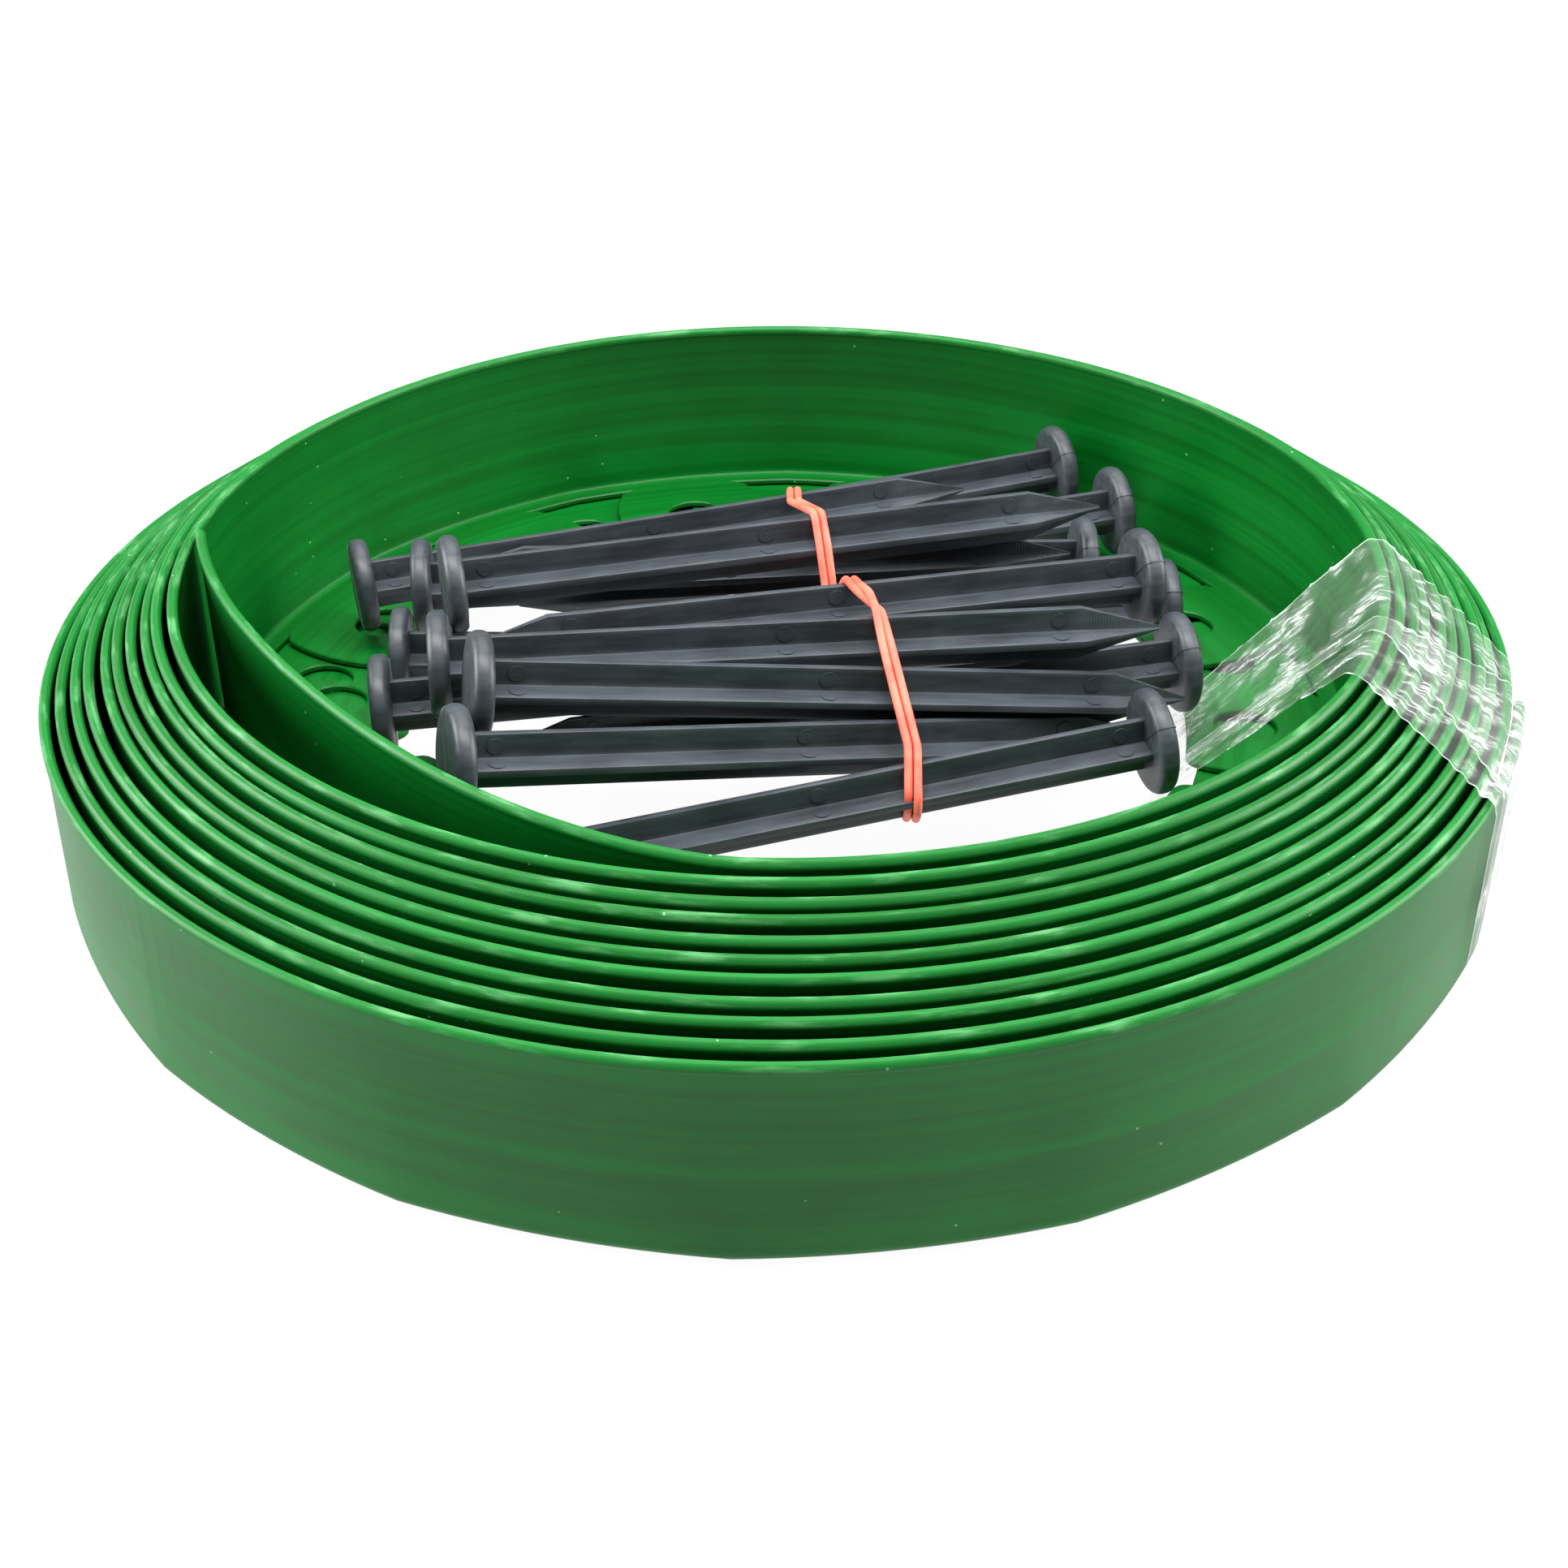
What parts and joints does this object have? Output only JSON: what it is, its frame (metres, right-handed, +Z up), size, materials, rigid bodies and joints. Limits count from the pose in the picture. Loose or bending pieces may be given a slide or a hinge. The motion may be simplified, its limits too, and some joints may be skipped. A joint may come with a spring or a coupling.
{
  "type": "lawn edging roll",
  "caption": "Coil of flexible L-section plastic lawn edging with a banded bundle of ground pegs in its centre, held by clear tape.",
  "frame": {"origin": "the coil's axis where it meets the floor that the coil stands on", "axes": "+Z up along the coil's axis, -Y towards the viewer's side of the roll, the pegs lie along X"},
  "size_m": [0.3361, 0.3375, 0.073],
  "materials": {
    "green_plastic": "satin extruded polyethylene, faint lengthwise draw lines",
    "slate_plastic": "satin moulded plastic, dark blue grey",
    "coral_rubber": "matt natural rubber",
    "clear_film": "clear wrinkled packing tape"
  },
  "bodies": {
    "coil": {"edging_strip": "green_plastic", "packing_tape": "clear_film"},
    "peg_bundle": {"ground_peg_01": "slate_plastic", "ground_peg_02": "slate_plastic", "ground_peg_03": "slate_plastic", "ground_peg_04": "slate_plastic", "ground_peg_05": "slate_plastic", "ground_peg_06": "slate_plastic", "ground_peg_07": "slate_plastic", "ground_peg_08": "slate_plastic", "ground_peg_09": "slate_plastic", "ground_peg_10": "slate_plastic", "ground_peg_11": "slate_plastic", "ground_peg_12": "slate_plastic", "ground_peg_13": "slate_plastic", "ground_peg_14": "slate_plastic", "ground_peg_15": "slate_plastic", "ground_peg_16": "slate_plastic", "rubber_band": "coral_rubber"}
  },
  "joints": [
    {"name": "bundle_lift", "type": "slide", "parent": "coil", "child": "peg_bundle", "axis": [0, 0, 1], "range_m": [0, 0.12]}
  ]
}
